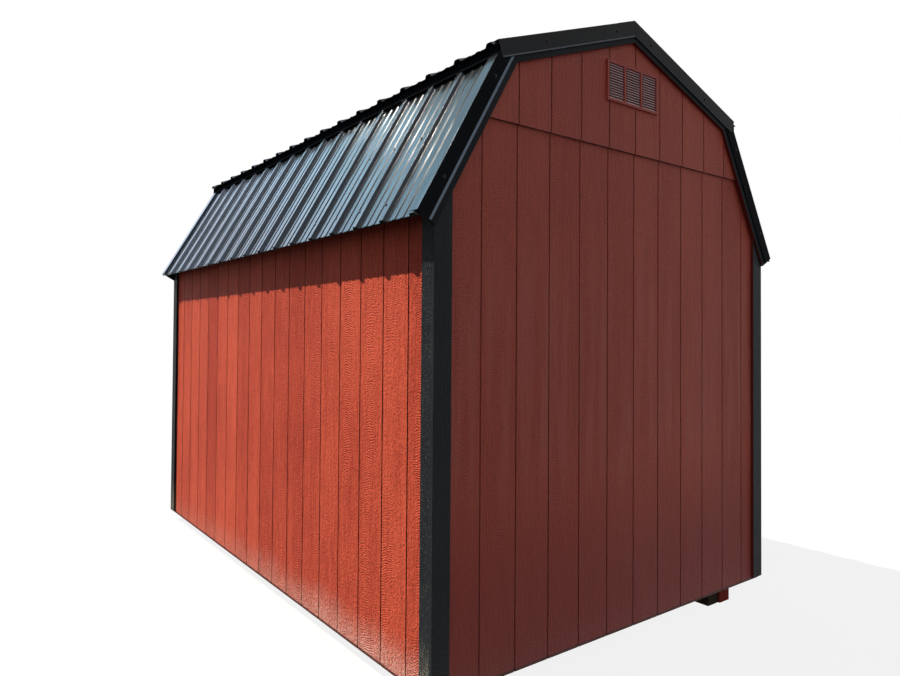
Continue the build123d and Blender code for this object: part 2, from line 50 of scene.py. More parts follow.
pitch = math.radians(1.09)
roll = math.radians(0.41)
sensor_width = 36.0

ahead = Vector((math.sin(yaw) * math.cos(pitch), math.cos(yaw) * math.cos(pitch), math.sin(pitch)))
level_right = Vector((math.cos(yaw), -math.sin(yaw), 0))
level_up = level_right.cross(ahead)
camera_right = level_right * math.cos(roll) + level_up * math.sin(roll)
camera_up = level_up * math.cos(roll) - level_right * math.sin(roll)

lens = bpy.data.cameras.new("eye_level_camera")
lens.sensor_width = sensor_width
lens.lens = focal_pixels / picture_width * sensor_width
lens.shift_x = (picture_width / 2 - axis_pixel_x) / picture_width
lens.shift_y = (axis_pixel_y - picture_height / 2) / picture_width
camera = bpy.data.objects.new("eye_level_camera", lens)
turn = Matrix((camera_right, camera_up, -ahead)).transposed()
camera.matrix_world = Matrix.Translation(eye) @ turn.to_4x4()
bpy.context.scene.collection.objects.link(camera)
bpy.context.scene.camera = camera
bpy.context.scene.view_settings.view_transform = "Standard"


# Studio light
# One hard key from high up and beyond the far gable makes the eave throw its toothed shadow on the
# side wall. A pale room fills the shade, and the steep roof sheets mirror a large soft panel.
key_travel = Vector((0.384, -0.422, -0.821))
key_strength = 7.5
key_colour = (1.0, 0.945, 0.84)
key_angle = math.radians(0.7)
fill_colour = (0.81, 0.92, 1.05, 1.0)
fill_strength = 0.39
panel_middle = Vector((-0.7, 10.0, 11.0))
panel_aim = Vector((-0.7, 0.0, 2.4))
panel_width = 8.0
panel_height = 16.0
panel_brightness = 5.2
panel_foot_share = 0.64
panel_top_share = 0.36
panel_foot_span = (0.32, 0.14)
panel_top_span = (0.40, 0.60)
panel_tint_span = (0.12, 0.60)
panel_low_colour = (0.62, 0.76, 1.0, 1.0)
panel_high_colour = (0.22, 0.70, 1.0, 1.0)
room_white = (1.0, 1.0, 1.0, 1.0)


class Shade:
    """A shader socket that takes part in Python sums; each sum adds its node to the tree."""

    def __init__(self, tree, socket):
        self.tree = tree
        self.socket = socket

    def plug(self, socket, value):
        """Link a shade to a socket, or set a plain value on it."""
        if isinstance(value, Shade):
            self.tree.links.new(value.socket, socket)
        else:
            socket.default_value = value

    def node(self, kind, settings=None, sockets=None, output=0):
        """Any node: its settings are set first, then the values or links of its sockets."""
        made = self.tree.nodes.new(kind)
        for name, value in (settings or {}).items():
            setattr(made, name, value)
        for name, value in (sockets or {}).items():
            self.plug(made.inputs[name], value)
        return Shade(self.tree, made.outputs[output])

    def math(self, operation, *others):
        """A Math node on this shade and any other values."""
        return self.node("ShaderNodeMath", {"operation": operation}, dict(enumerate((self, *others))))

    def axis(self, letter):
        """One coordinate of a vector."""
        return self.node("ShaderNodeSeparateXYZ", None, {"Vector": self}, letter)

    def between(self, low, high):
        """0 at low, 1 at high, smooth between."""
        return self.node(
            "ShaderNodeMapRange",
            {"interpolation_type": "SMOOTHSTEP"},
            {"Value": self, "From Min": low, "From Max": high},
        )

    def band(self, rise, fall):
        """1 between a rise and a fall, each given by its two ends."""
        return self.between(*rise) * self.between(*fall)

    def stretched(self, scale):
        """Coordinates scaled by three numbers."""
        return self.node("ShaderNodeMapping", None, {"Vector": self, "Scale": scale})

    def noise(self, scale, detail=3.0, roughness=0.55):
        """Soft noise at a number of features a metre."""
        return self.node(
            "ShaderNodeTexNoise",
            None,
            {"Vector": self, "Scale": scale, "Detail": detail, "Roughness": roughness},
        )

    def tint(self, first, second):
        """A colour that goes from the first to the second as this shade goes from 0 to 1."""
        # The Mix node takes its two colours in sockets 6 and 7 and gives one out in socket 2
        colours = {"Factor": self, 6: first, 7: second}
        return self.node("ShaderNodeMix", {"data_type": "RGBA"}, colours, 2)

    def bump(self, height_of_one, over=None):
        """A normal from this shade as a height in metres, laid over another normal if one is given."""
        sockets = {"Height": self, "Distance": height_of_one}
        if over is not None:
            sockets["Normal"] = over
        return self.node("ShaderNodeBump", None, sockets)

    def __add__(self, other):
        return self.math("ADD", other)

    def __sub__(self, other):
        return self.math("SUBTRACT", other)

    def __rsub__(self, other):
        return self.node("ShaderNodeMath", {"operation": "SUBTRACT"}, {0: other, 1: self})

    def __mul__(self, other):
        return self.math("MULTIPLY", other)

    def __truediv__(self, other):
        return self.math("DIVIDE", other)

    __radd__ = __add__
    __rmul__ = __mul__


key = bpy.data.lights.new("key_sun", "SUN")
key.energy = key_strength
key.color = key_colour
key.angle = key_angle
key_lamp = bpy.data.objects.new("key_sun", key)
key_lamp.rotation_euler = key_travel.to_track_quat("-Z", "Y").to_euler()
bpy.context.scene.collection.objects.link(key_lamp)

panel = bpy.data.lights.new("soft_panel", "AREA")
panel.shape = "RECTANGLE"
panel.size = panel_width
panel.size_y = panel_height
panel.energy = panel_brightness * math.pi * panel_width * panel_height
panel.use_nodes = True
panel_tree = panel.node_tree
panel_glow = panel_tree.nodes["Emission"]
panel_place = panel_tree.nodes.new("ShaderNodeNewGeometry").outputs["Parametric"]
panel_rise = Shade(panel_tree, panel_place).axis("Y")
panel_foot = panel_rise.between(*panel_foot_span) * (1.0 - panel_foot_share)
panel_top = panel_rise.between(*panel_top_span) * (1.0 - panel_top_share)
panel_tint = panel_rise.between(*panel_tint_span).tint(panel_low_colour, panel_high_colour)
panel_rise.plug(panel_glow.inputs["Color"], panel_tint)
panel_rise.plug(panel_glow.inputs["Strength"], 1.0 - panel_foot - panel_top)
panel_lamp = bpy.data.objects.new("soft_panel", panel)
panel_turn = (panel_aim - panel_middle).to_track_quat("-Z", "Y").to_matrix().to_4x4()
panel_lamp.matrix_world = Matrix.Translation(panel_middle) @ panel_turn
panel_lamp.visible_camera = False
panel_lamp.visible_diffuse = False
bpy.context.scene.collection.objects.link(panel_lamp)

room = bpy.data.worlds.new("pale_room")
room.use_nodes = True
bpy.context.scene.world = room


def seen_directly(tree):
    """1 for rays that see the background itself, straight or in a gloss, and 0 for lighting rays."""
    path = tree.nodes.new("ShaderNodeLightPath")
    direct = Shade(tree, path.outputs["Is Camera Ray"])
    for ray in ("Is Glossy Ray", "Is Transmission Ray"):
        direct = direct.math("MAXIMUM", Shade(tree, path.outputs[ray]))
    return direct


room_tree = room.node_tree
backdrop = room_tree.nodes["Background"]
direct = seen_directly(room_tree)
direct.plug(backdrop.inputs["Color"], direct.tint(fill_colour, room_white))
direct.plug(backdrop.inputs["Strength"], fill_strength + direct * (1.0 - fill_strength))


# Studio floor
# A plain matt sheet laid under the skids. It takes the barn's shadow softly and is near white
# everywhere else.
floor_size = 80.0
floor_white_share = 0.86
floor_seen = (0.52, 0.52, 0.52, 1.0)
floor_bounce = (0.012, 0.012, 0.012, 1.0)

bpy.ops.object.select_all(action="DESELECT")
bpy.ops.mesh.primitive_plane_add(size=floor_size)
studio_floor = bpy.context.object
studio_floor.name = "studio_floor"
floor_paint = bpy.data.materials.new("floor_paint")
floor_paint.use_nodes = True
floor_tree = floor_paint.node_tree
floor_surface = floor_tree.nodes["Principled BSDF"]
direct = seen_directly(floor_tree)
direct.plug(floor_surface.inputs["Base Color"], direct.tint(floor_bounce, floor_seen))
direct.plug(floor_surface.inputs["Specular IOR Level"], 0.0)
floor_glow = direct.node("ShaderNodeEmission", None, {"Color": room_white})
floor_mix = direct.node(
    "ShaderNodeMixShader",
    None,
    {0: direct * floor_white_share, 1: Shade(floor_tree, floor_surface.outputs[0]), 2: floor_glow},
)
floor_mix.plug(floor_tree.nodes["Material Output"].inputs["Surface"], floor_mix)
studio_floor.data.materials.append(floor_paint)


# Skids
# Pairs of rough preserved timbers under the floor, laid along the barn. The notched ends of the outer
# ones lie flush with the siding and were sprayed red with it.
skid_brown = (0.020, 0.012, 0.008, 1.0)
skid_pale = (0.055, 0.034, 0.022, 1.0)
skid_red = (0.30, 0.040, 0.026, 1.0)
frame_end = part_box("floor_deck")[1].y
paint_edge = 0.003
grain_along = 2.2
grain_across = 46.0
fibres_to_grain = 6.0
blotches_per_metre = 3.5
saw_mark_height = 0.0015
timber_gloss = 0.08


def new_finish(name):
    """A new material: itself, its surface shader and the place on the piece."""
    finish = bpy.data.materials.new(name)
    finish.use_nodes = True
    tree = finish.node_tree
    place = Shade(tree, tree.nodes.new("ShaderNodeTexCoord").outputs["Object"])
    return finish, tree.nodes["Principled BSDF"], place


def fill_sockets(shade, surface, sockets):
    """Set or link several sockets of a surface shader."""
    for name, value in sockets.items():
        shade.plug(surface.inputs[name], value)


def dress(nodes, finish):
    """Give CAD nodes their finish."""
    for node in nodes:
        for material_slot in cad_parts[node].material_slots:
            material_slot.material = finish


def beyond(place, letter, limit, edge):
    """1 where a coordinate lies further from the middle of the barn than a limit."""
    return place.axis(letter).math("ABSOLUTE").between(limit, limit + edge)


def timber_finish(name, dark, pale, along, end_paint=None):
    """Sawn softwood with its grain along one axis; timber past the end of the frame may be painted."""
    finish, wood, place = new_finish(name)
    scale = [grain_along if letter == along else grain_across for letter in "XYZ"]
    run = place.stretched(scale)
    figure = run.noise(1.0, 5.0, 0.6)
    fibre = run.noise(fibres_to_grain, 3.0, 0.6)
    blotch = place.noise(blotches_per_metre, 3.0)
    tone = figure * 0.6 + fibre * 0.25 + blotch * 0.25
    colour = tone.between(0.32, 0.78).tint(dark, pale)
    if end_paint is not None:
        worn = beyond(place, "Y", frame_end, paint_edge) * figure.between(0.25, 0.5)
        colour = worn.tint(colour, end_paint)
    relief = fibre * 0.6 + figure * 0.4
    fill_sockets(
        place,
        wood,
        {
            "Base Color": colour,
            "Roughness": 0.72 + fibre * 0.2,
            "Specular IOR Level": timber_gloss,
            "Normal": relief.bump(saw_mark_height),
        },
    )
    return finish


skid_timber = timber_finish("skid_timber", skid_brown, skid_pale, "Y", skid_red)
dress(["left_skids", "right_skids"], skid_timber)


# Floor frame, wall frames and rafters
# Planed pale softwood, nailed together. Only the joists show, from below, and the rest fills the
# inside as such a frame does.
pine_dark = (0.36, 0.21, 0.10, 1.0)
pine_pale = (0.62, 0.43, 0.25, 1.0)

dress(["floor_joists"], timber_finish("joist_pine", pine_dark, pine_pale, "X"))
dress(["floor_rims"], timber_finish("rim_pine", pine_dark, pine_pale, "Y"))
upright_pine = timber_finish("stud_pine", pine_dark, pine_pale, "Z")
dress(
    ["left_wall_frame", "right_wall_frame", "front_wall_frame", "back_wall_frame", "roof_rafters"],
    upright_pine,
)


# Floor and roof boarding
# Pressed flake board: flat chips of pale wood in all directions under a film of resin. What runs out
# over the walls is coloured black.
flake_dark = (0.30, 0.17, 0.08, 1.0)
flake_pale = (0.58, 0.40, 0.22, 1.0)
soffit_black = (0.008, 0.008, 0.009, 1.0)
flakes_per_metre = 32.0
flake_stretch = (1.0, 2.1, 1.6)
flake_fibre_scale = (300.0, 60.0, 160.0)
bends_per_metre = 60.0
flake_seam = 0.08
flake_height = 0.0008
side_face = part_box("right_siding")[1].x
gable_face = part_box("back_left_siding")[1].y
brush_edge = 0.002


def flake_board_finish(name):
    """Boards pressed from wood chips, black outside the walls."""
    finish, board, place = new_finish(name)
    bends = {"Vector": place, "Scale": bends_per_metre}
    wobble = place.node("ShaderNodeTexNoise", None, bends, "Color")
    bent = place.node("ShaderNodeVectorMath", {"operation": "ADD"}, {0: place, 1: wobble})
    cells = {"Vector": bent.stretched(flake_stretch), "Scale": flakes_per_metre}
    chip = place.node("ShaderNodeTexVoronoi", None, cells, "Color").axis("X")
    edge = place.node("ShaderNodeTexVoronoi", {"feature": "DISTANCE_TO_EDGE"}, cells, "Distance")
    fibre = place.stretched(flake_fibre_scale).noise(1.0, 3.0)
    tone = chip * 0.7 + fibre * 0.3
    bare = tone.between(0.1, 0.95).tint(flake_dark, flake_pale)
    past_side = beyond(place, "X", side_face, brush_edge)
    outside = past_side.math("MAXIMUM", beyond(place, "Y", gable_face, brush_edge))
    fill_sockets(
        place,
        board,
        {
            "Base Color": outside.tint(bare, soffit_black),
            "Roughness": 0.6 + chip * 0.25,
            "Specular IOR Level": timber_gloss,
            "Normal": (edge.between(0.0, flake_seam) * 0.6 + chip * 0.4).bump(flake_height),
        },
    )
    return finish


flake_board = flake_board_finish("flake_board")
dress(["floor_deck", "lower_roof_decks", "upper_roof_decks"], flake_board)


# Panel siding
# Pressed-fibre panels with upright grooves and a wood grain embossed in the face, nailed to the studs
# and sprayed barn red. The gables carry a painted sheen across the middle and painted shade lower
# down;
# painted shade darkens the grooves and undersides, and dust pales the foot of the sunny side.
groove_pitch = 0.2032
groove_half_share = 0.0195
groove_edge_share = 0.00195
groove_seed = 0.4
gable_groove_shift = 0.028
side_groove_shift = -0.024
siding_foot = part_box("left_siding")[0].z
foot_line = 0.018
arches_per_metre = 88.0
arch_steepness = 17.0
sway_scale = (4.0, 4.0, 2.2)
shiver_scale = (30.0, 30.0, 18.0)
patch_scale = (5.0, 5.0, 1.8)
fibre_scale = (110.0, 110.0, 8.0)
pimple_scale = (120.0, 120.0, 80.0)
cloud_scale = (1.6, 1.6, 0.9)
streak_scale = (13.0, 13.0, 0.7)
groove_scale = (3.0, 3.0, 1.1)
drift_scale = (7.0, 7.0, 3.0)
mean_tone = 0.68
sheen_rise = (0.55, 1.15)
sheen_fall = (2.15, 1.55)
sheen_share = 0.42
low_shade_span = (0.95, 0.30)
dust_reach = 0.15
dust_full_drop = 0.08
dust_drift = 0.12
dusty_run = (1.2, -1.7)
barn_red = (0.310, 0.033, 0.019, 1.0)
barn_red_sun = (0.620, 0.102, 0.052, 1.0)
# Painted light: a sheen and low shade for the gables, and shade for grooves, undersides and the foot
painted_sheen_red = (0.56, 0.150, 0.112, 1.0)
painted_shade_red = (0.29, 0.032, 0.020, 1.0)
groove_shade_red = (0.026, 0.005, 0.004, 1.0)
painted_edge_shade = (0.030, 0.006, 0.005, 1.0)
splash_dust = (0.66, 0.36, 0.30, 1.0)


def siding_finish(
    name, axis, groove_shift, groove_shade_share, dust_share, painted_light_share, contrast, grain_height, gloss
):
    """Red grooved siding whose boards lie side by side along one axis."""
    finish, paint, place = new_finish(name)
    up = place.axis("Z")
    board = (place.axis(axis) - groove_shift) / groove_pitch
    number = board.math("FLOOR")
    inside = board - number - 0.5
    chance = {"noise_dimensions": "1D"}
    luck = place.node("ShaderNodeTexWhiteNoise", chance, {"W": number}, "Value")
    groove_number = board.math("ROUND") + groove_seed
    groove_luck = place.node("ShaderNodeTexWhiteNoise", chance, {"W": groove_number}, "Value")

    # Embossed grain: a column of stacked arches wanders up each board between streaks and pimples
    sway = place.stretched(sway_scale).noise(1.0, 3.0)
    column = inside - (luck - 0.5) * 0.5 - (sway - 0.5) * 0.9
    shiver = place.stretched(shiver_scale).noise(1.0, 3.0, 0.6)
    arches = up * arches_per_metre + column * column * arch_steepness + sway * 9.0 + shiver * 3.2
    ripple = (arches * math.tau).math("SINE")
    height_luck = place.stretched(patch_scale).noise(1.0, 3.0)
    patch = column.math("ABSOLUTE").between(0.36, 0.10) * height_luck.between(0.38, 0.58)
    fibre = place.stretched(fibre_scale).noise(1.0, 4.0, 0.62)
    pimple = place.stretched(pimple_scale).noise(1.0, 3.0, 0.65)
    relief = ripple * patch * 0.19 + fibre * (1.0 - patch * 0.5) + pimple * 1.3

    # Paint: uneven coats, a painted sheen at breast height and painted shade lower down, then painted
    # shade in the grooves, the dust at the foot, and painted shade on undersides and along the foot
    cloud = place.stretched(cloud_scale).noise(1.0, 4.0, 0.6)
    streak = place.stretched(streak_scale).noise(1.0, 4.0, 0.62)
    tone = cloud * 0.26 + luck * 0.10 + streak * 0.22 + fibre * 0.42 + pimple * 0.36
    tone = (tone + ripple * patch * 0.08 - mean_tone) * contrast + 0.5
    colour = tone.between(0.0, 1.0).tint(barn_red, barn_red_sun)
    # Painted sheen: a paler streaky band across the middle of the gables
    painted_sheen = up.band(sheen_rise, sheen_fall) * streak.between(0.40, 0.66)
    colour = (painted_sheen * painted_light_share * sheen_share).tint(colour, painted_sheen_red)
    # Painted shade: the gables darker lower down
    painted_low_shade = up.between(*low_shade_span) * (0.65 + streak * 0.7)
    colour = (painted_low_shade * painted_light_share).tint(colour, painted_shade_red)
    # Painted shade in the grooves, deeper in some than in others
    depth = place.stretched(groove_scale).noise(1.0, 3.0).between(0.30, 0.56)
    edge_of_board = inside.math("ABSOLUTE")
    groove_side = 0.5 - groove_half_share
    in_groove = edge_of_board.between(groove_side - groove_edge_share, groove_side)
    groove_shade = (0.58 + depth * 0.42) * (0.72 + groove_luck * 0.28) * groove_shade_share
    colour = (in_groove * groove_shade).tint(colour, groove_shade_red)
    drift = place.stretched(drift_scale).noise(1.0, 4.0, 0.65)
    near_corner = place.axis("Y").between(*dusty_run)
    dust = (up - drift * dust_drift).between(siding_foot + dust_reach, siding_foot - dust_full_drop)
    dust = dust * (0.25 + near_corner * 0.75) * dust_share
    colour = (dust * (0.35 + pimple.between(0.40, 0.62) * 0.65)).tint(colour, splash_dust)
    # Painted shade on faces that look down, and a painted shadow line along the foot
    underside = place.node("ShaderNodeNewGeometry", None, None, "Normal").axis("Z").between(-0.4, -0.6)
    foot_shade = up.between(siding_foot + foot_line, siding_foot + foot_line / 2) * 0.85
    colour = underside.math("MAXIMUM", foot_shade).tint(colour, painted_edge_shade)
    fill_sockets(
        place,
        paint,
        {
            "Base Color": colour,
            "Roughness": 0.46 + fibre * 0.24 + dust * 0.2,
            "Specular IOR Level": gloss,
            "Normal": relief.bump(grain_height),
        },
    )
    return finish


side_red = siding_finish(
    "side_siding_red",
    axis="Y",
    groove_shift=side_groove_shift,
    groove_shade_share=1.0,
    dust_share=1.0,
    painted_light_share=0.0,
    contrast=2.8,
    grain_height=0.0044,
    gloss=0.05,
)
gable_red = siding_finish(
    "gable_siding_red",
    axis="X",
    groove_shift=gable_groove_shift,
    groove_shade_share=0.52,
    dust_share=0.12,
    painted_light_share=1.0,
    contrast=1.7,
    grain_height=0.0040,
    gloss=0.38,
)
dress(["left_siding", "right_siding"], side_red)
gable_panels = ["front_lower_siding", "front_upper_siding", "back_upper_siding"]
gable_panels += ["back_left_siding", "back_right_siding", "back_over_door_siding"]
dress(gable_panels + ["left_door_leaf", "right_door_leaf"], gable_red)


# Corner boards, rake boards and door boards
# Pressed trim boards with the same embossed grain, brushed black before they were nailed on.
# Splashed dust greys the feet of the boards on the long sides, which also carry pale painted glint
# specks.
board_black = (0.0064, 0.008, 0.0104, 1.0)
board_worn = (0.018, 0.0215, 0.0245, 1.0)
board_dust_and_glint = (0.24, 0.22, 0.18, 1.0)
sprayed_edge = (0.17, 0.024, 0.015, 1.0)
upright_grain = (120.0, 120.0, 9.0)
raked_grain = (30.0, 160.0, 100.0)
board_drift_scale = (12.0, 12.0, 4.0)
board_drift = 0.30
board_dust_reach = 0.14
speck_scale = (170.0, 170.0, 120.0)
pimples_per_metre = 130.0
board_clouds_per_metre = 5.0
board_grain_height = 0.0026
ends = ("front", "back")
levels = ("upper", "lower")


def black_board_finish(name, grain, dust_share, gloss, spray_share, edge_dullness):
    """Black painted board with its grain scaled by three numbers; inner edges may have caught red."""
    finish, paint, place = new_finish(name)
    up = place.axis("Z")
    fibre = place.stretched(grain).noise(1.0, 4.0, 0.62)
    pimple = place.noise(pimples_per_metre, 3.0, 0.6)
    cloud = place.noise(board_clouds_per_metre, 3.0)
    colour = (cloud * 0.4 + fibre * 0.6).between(0.38, 0.72).tint(board_black, board_worn)
    drift = place.stretched(board_drift_scale).noise(1.0, 4.0, 0.65)
    drifted = up - drift * board_drift
    dust = drifted.between(siding_foot + board_dust_reach, siding_foot - board_dust_reach) * dust_share
    speck = place.stretched(speck_scale).noise(1.0, 2.0, 0.7)
    colour = (dust * (0.16 + speck.between(0.42, 0.64))).tint(colour, board_dust_and_glint)
    # Painted highlights: pale glint specks on the long-side boards, set with the dust by dust_share
    colour = (speck.between(0.60, 0.74) * dust_share * 0.7).tint(colour, board_dust_and_glint)
    facing = place.node("ShaderNodeNewGeometry", None, None, "Normal")
    outwards = facing.axis("X") * place.axis("X")
    below = facing.axis("Z").between(-0.15, -0.35) * outwards.between(0.25, 0.05)
    inner = outwards.between(-0.15, -0.45).math("MAXIMUM", below)
    colour = (inner * (0.6 + fibre * 0.5) * spray_share).tint(colour, sprayed_edge)
    outer_edge = facing.axis("Y").math("ABSOLUTE").between(0.5, 0.3)
    fill_sockets(
        place,
        paint,
        {
            "Base Color": colour,
            "Roughness": 0.42 + fibre * 0.25 + dust * 0.3 + outer_edge * edge_dullness,
            "Specular IOR Level": gloss,
            "Normal": (fibre * 0.9 + pimple * 1.2).bump(board_grain_height),
        },
    )
    return finish


side_black = black_board_finish(
    "side_board_black", upright_grain, dust_share=1.0, gloss=0.05, spray_share=0.0, edge_dullness=0.0
)
dress(["left_corner_boards", "right_corner_boards"], side_black)
gable_black = black_board_finish(
    "gable_board_black", upright_grain, dust_share=0.1, gloss=0.13, spray_share=1.0, edge_dullness=0.3
)
dress(["front_corner_boards", "back_corner_boards", "gable_packing"], gable_black)
door_black = black_board_finish(
    "door_board_black", upright_grain, dust_share=0.1, gloss=0.13, spray_share=0.0, edge_dullness=0.3
)
dress(["left_door_boards", "right_door_boards", "door_casing"], door_black)
raked_black = black_board_finish(
    "raked_board_black", raked_grain, dust_share=0.0, gloss=0.07, spray_share=1.0, edge_dullness=0.3
)
dress([f"{end}_{level}_rake_boards" for end in ends for level in levels], raked_black)


# Roof sheets and folded flashings
# Roll-formed ribbed sheets, and flat steel folded into trims, a ridge cap and knee strips, under one
# glossy black coat. Weather has dulled it on upright faces; the lower trims show a bare bright hem.
# The rib flanks carry a painted bluish reflection, paler on front-facing flanks further back.
coat_black = (0.007, 0.008, 0.010, 1.0)
coat_chalk = (0.012, 0.014, 0.017, 1.0)
# Painted reflection colours for the rib flanks, near and further back
flank_reflection_near = (0.015, 0.022, 0.036, 1.0)
flank_reflection_far = (0.095, 0.125, 0.180, 1.0)
hem_zinc = (0.34, 0.39, 0.44, 1.0)
lacquer_ior = 1.45
lacquer_roughness = 0.20
fold_radius = 0.006
run_scale = (3.0, 70.0, 3.0)
chalk_scale = (2.0, 5.0, 2.0)
wave_scale = (2.4, 9.0, 2.4)
wave_height = 0.004
upright_level = (0.08, 0.22)
gable_across = (0.88, 0.96)
hem_rise = (0.70, 0.80)
hem_fall = (0.95, 0.90)
flank_rise = (0.60, 0.70)
flank_fall = (0.86, 0.80)
low_rib_rise = (0.20, 0.28)
low_rib_fall = (0.55, 0.45)
reflection_run = (-1.0, 1.7)
reflection_facing = (0.0, -0.2)


def coated_steel_finish(name, sheet_gloss, upright_gloss, hem_share, flank_reflection_share):
    """Glossy black steel with rain runs and a painted reflection on rib flanks; a face's turn to the
    gables tells ribs and hems apart.
    """
    finish, coat, place = new_finish(name)
    runs = place.stretched(run_scale).noise(1.0, 4.0, 0.6)
    cloud = place.stretched(chalk_scale).noise(1.0, 3.0)
    wave = place.stretched(wave_scale).noise(1.0, 2.0)
    facing = place.node("ShaderNodeNewGeometry", None, None, "Normal")
    across = facing.axis("Y").math("ABSOLUTE")
    level = facing.axis("Z").math("ABSOLUTE")
    upright = (1.0 - level.between(*upright_level)).math("MAXIMUM", across.between(*gable_across))
    hem = across.band(hem_rise, hem_fall) * hem_share
    colour = (runs * 0.6 + cloud * 0.4).between(0.40, 0.75).tint(coat_black, coat_chalk)
    # Painted reflection: a bluish tint on rib flanks, paler on front-facing flanks further back
    flank_reflection_mask = across.band(flank_rise, flank_fall) * flank_reflection_share
    far = place.axis("Y").between(*reflection_run) * facing.axis("Y").between(*reflection_facing)
    colour = (flank_reflection_mask * (0.6 + runs * 0.6)).tint(colour, far.tint(flank_reflection_near, flank_reflection_far))
    low_rib = across.band(low_rib_rise, low_rib_fall)
    gloss = sheet_gloss + upright * (upright_gloss - sheet_gloss) - low_rib * (sheet_gloss * 0.85)
    rounded = place.node("ShaderNodeBevel", {"samples": 4}, {"Radius": fold_radius})
    fill_sockets(
        place,
        coat,
        {
            "Base Color": hem.tint(colour, hem_zinc),
            "Roughness": 0.45 + cloud * 0.2,
            "Specular IOR Level": 0.0,
            "Normal": rounded,
        },
    )
    lacquer = place.node(
        "ShaderNodeBsdfPrincipled",
        None,
        {
            "Base Color": colour,
            "Roughness": lacquer_roughness,
            "IOR": lacquer_ior,
            "Normal": wave.bump(wave_height, rounded),
        },
    )
    lacquer_share = gloss * (0.82 + runs * 0.36) * (1.0 - hem)
    dull = Shade(place.tree, coat.outputs[0])
    worn_coat = place.node("ShaderNodeMixShader", None, {0: lacquer_share, 1: dull, 2: lacquer})
    worn_coat.plug(place.tree.nodes["Material Output"].inputs["Surface"], worn_coat)
    return finish


roof_coat = coated_steel_finish(
    "roof_coat", sheet_gloss=0.5, upright_gloss=0.3, hem_share=0.0, flank_reflection_share=1.0
)
dress([f"{side}_{level}_sheet" for side in ("left", "right") for level in levels], roof_coat)
dress(["ridge_cap"], roof_coat)
lower_trim_coat = coated_steel_finish(
    "lower_trim_coat", sheet_gloss=0.5, upright_gloss=0.06, hem_share=1.0, flank_reflection_share=0.0
)
dress([f"{end}_lower_rake_trim" for end in ends], lower_trim_coat)
upper_trim_coat = coated_steel_finish(
    "upper_trim_coat", sheet_gloss=0.5, upright_gloss=0.30, hem_share=0.35, flank_reflection_share=0.0
)
dress([f"{end}_upper_rake_trim" for end in ends], upper_trim_coat)
knee_coat = coated_steel_finish(
    "knee_coat", sheet_gloss=0.02, upright_gloss=0.0, hem_share=0.0, flank_reflection_share=0.0
)
dress(["left_knee_flashing", "right_knee_flashing"], knee_coat)


# Roof and trim screws
# Self-drilling screws with a hexagon head on a wide sealing washer, painted with the sheets. They hold
# the sheets beside each tall rib in three rows, and the rake trims every half metre or so.
washer_radius = 0.0085
washer_height = 0.002
washer_sides = 12
head_radius = 0.0050
head_height = 0.0055
head_sides = 6
rib_pitch = 0.2286
rib_height = 0.015
metal_thickness = 0.0012
beside_rib = 0.060
steep_rise = 0.630
steep_run = 0.362
flat_rise = 0.316
flat_run = 0.8572
lower_angle = math.atan2(steep_rise, steep_run)
upper_angle = math.atan2(flat_rise, flat_run)
screw_black = (0.012, 0.013, 0.015, 1.0)
screw_worn = (0.035, 0.037, 0.040, 1.0)
screw_wear_per_metre = 90.0
screw_gloss = 0.2

bpy.ops.object.select_all(action="DESELECT")
bpy.ops.mesh.primitive_cylinder_add(vertices=washer_sides, radius=washer_radius, depth=washer_height)
screw = bpy.context.object
bpy.ops.object.mode_set(mode="EDIT")
bpy.ops.mesh.select_all(action="DESELECT")
head_middle = (0, 0, washer_height / 2 + head_height / 2)
bpy.ops.mesh.primitive_cylinder_add(
    vertices=head_sides, radius=head_radius, depth=head_height, location=head_middle
)
bpy.ops.object.mode_set(mode="OBJECT")

screw_finish, screw_paint, place = new_finish("screw_black")
wear = place.noise(screw_wear_per_metre, 3.0)
fill_sockets(
    place,
    screw_paint,
    {
        "Base Color": wear.between(0.4, 0.7).tint(screw_black, screw_worn),
        "Roughness": 0.4 + wear * 0.2,
        "Specular IOR Level": screw_gloss,
    },
)
screw.data.materials.append(screw_finish)


def screw_field(first, facing, repeats):
    """Screws from a first place, facing outwards, repeated by each (step, count) in turn."""
    field = screw.copy()
    field.data = screw.data.copy()
    bpy.context.scene.collection.objects.link(field)
    turn_outwards = facing.to_track_quat("Z", "Y").to_matrix().to_4x4()
    field.data.transform(Matrix.Translation(first) @ turn_outwards)
    bpy.ops.object.select_all(action="DESELECT")
    field.select_set(True)
    bpy.context.view_layer.objects.active = field
    for step, count in repeats:
        row = field.modifiers.new("row", "ARRAY")
        row.use_relative_offset = False
        row.use_constant_offset = True
        row.constant_offset_displace = step
        row.count = count
        bpy.ops.object.modifier_apply(modifier=row.name)
    return field


def joined(name, pieces):
    """Join pieces into one that stays with the barn."""
    bpy.ops.object.select_all(action="DESELECT")
    for piece in pieces:
        piece.select_set(True)
    bpy.context.view_layer.objects.active = pieces[0]
    bpy.ops.object.join()
    pieces[0].name = name
    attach(pieces[0], "root")


sheet_low, sheet_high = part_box("right_lower_sheet")
eave_end = Vector((sheet_high.x - rib_height * math.sin(lower_angle), 0, sheet_low.z))
cap_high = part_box("ridge_cap")[1]
ridge_top = Vector((0, 0, cap_high.z))
trim_face = cap_high.y + metal_thickness

# Rows along a slope: the distance of the first from the eave or the ridge, their spacing and number
lower_rows = (0.105, 0.371, 3)
upper_rows = (0.10, 0.38, 3)
lower_trim_rows = (0.205, 0.542, 2)
upper_trim_rows = (0.16, 0.52, 2)
cap_depth = rib_height + 2 * metal_thickness
trim_screw_drop = 0.022
rib_places = 2 * int(frame_end // rib_pitch) + 1
first_rib = -(rib_places - 1) / 2 * rib_pitch + beside_rib

